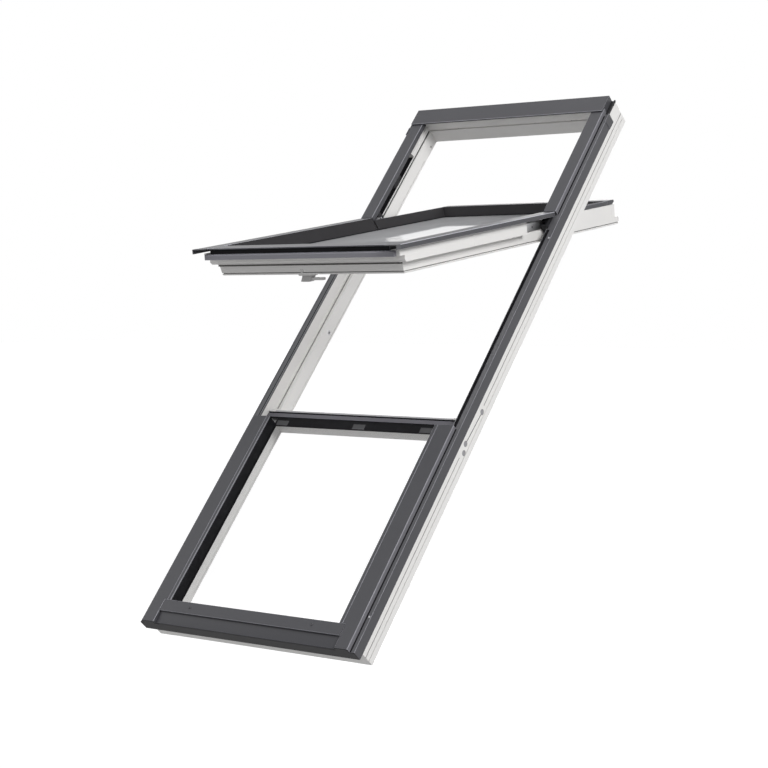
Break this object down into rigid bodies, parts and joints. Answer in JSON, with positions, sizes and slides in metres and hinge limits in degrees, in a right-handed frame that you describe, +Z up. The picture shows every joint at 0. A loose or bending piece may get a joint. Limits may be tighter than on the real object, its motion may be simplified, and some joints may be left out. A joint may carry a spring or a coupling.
{
  "type": "roof skylight",
  "caption": "Pitched roof window with a white timber frame, anthracite covers, a fixed lower light and a pivoting sash on curved-track hinges, shown open.",
  "frame": {"origin": "centre of the sill rail's room face", "axes": "+X across to the right seen from outside, +Z up, the window rising along +Y at a roof pitch of 49 degrees"},
  "size_m": [0.787, 1.4979, 1.6312],
  "materials": {
    "white_timber": "white coated timber, satin",
    "white_plastic": "satin",
    "anthracite_sheet": "anthracite coated sheet, satin",
    "grey_sheet": "grey coated sheet, satin",
    "glass": "clear",
    "spacer": "matt",
    "gasket": "matt",
    "black_plastic": "matt",
    "grey_plastic": "satin",
    "steel": "brushed"
  },
  "bodies": {
    "frame": {"left_jamb": "white_timber", "right_jamb": "white_timber", "head_rail": "white_timber", "sill_rail": "white_timber", "transom": "white_timber", "latch_keeper": "steel", "bolt_bushing": "steel", "left_side_cladding": "anthracite_sheet", "right_side_cladding": "anthracite_sheet", "head_cover": "anthracite_sheet", "left_head_cap": "black_plastic", "right_head_cap": "black_plastic", "left_upper_cover": "anthracite_sheet", "right_upper_cover": "anthracite_sheet", "left_lower_cover": "anthracite_sheet", "right_lower_cover": "anthracite_sheet", "sill_strip": "anthracite_sheet", "sill_gutter": "anthracite_sheet", "transom_cover": "grey_sheet", "lower_outer_pane": "glass", "lower_inner_pane": "glass", "lower_spacer": "spacer", "lower_gasket": "gasket", "lower_setting": "gasket", "left_frame_seal": "gasket", "right_frame_seal": "gasket", "left_hinge_housing": "black_plastic", "right_hinge_housing": "black_plastic", "left_rebate_filler": "white_plastic", "right_rebate_filler": "white_plastic", "left_stop_block": "black_plastic", "right_stop_block": "black_plastic", "transom_connectors": "grey_plastic", "frame_screws": "steel"},
    "sash": {"left_stile": "white_timber", "right_stile": "white_timber", "sash_bottom_rail": "white_timber", "sash_seals": "gasket", "lock_case": "steel", "sash_top_rail": "white_timber", "left_sash_cover": "anthracite_sheet", "right_sash_cover": "anthracite_sheet", "sash_bottom_cover": "grey_sheet", "left_upper_bead": "anthracite_sheet", "right_upper_bead": "anthracite_sheet", "sash_top_bead": "anthracite_sheet", "sash_outer_pane": "glass", "sash_inner_pane": "glass", "sash_spacer": "spacer", "sash_gasket": "gasket", "sash_setting": "gasket", "left_hinge_arm": "steel", "right_hinge_arm": "steel", "handle_base": "grey_plastic", "bolt_housing": "steel"},
    "lever": {"handle_lever": "steel"},
    "latch": {"latch_bolt": "steel"},
    "bolt": {"cleaning_bolt": "steel"}
  },
  "joints": [
    {"name": "sash_pivot", "type": "hinge", "parent": "frame", "child": "sash", "pos_m": [0, 0.92892, 1.2317], "axis": [-1, 0, 0], "range_deg": [-40.5, 115.5]},
    {"name": "handle_turn", "type": "hinge", "parent": "sash", "child": "lever", "pos_m": [-0.028, 0.22702, 1.0368], "axis": [0, -0.1478, 0.989], "range_deg": [0, 90]},
    {"name": "latch_slide", "type": "slide", "parent": "sash", "child": "latch", "axis": [0, -0.989, -0.1478], "range_m": [0, 0.022]},
    {"name": "cleaning_bolt_slide", "type": "slide", "parent": "sash", "child": "bolt", "axis": [-1, 0, 0], "range_m": [0, 0.012]}
  ],
  "couplings": [
    {"joint": "latch_slide", "follows": "handle_turn", "m_per_rad": 0.014006}
  ]
}
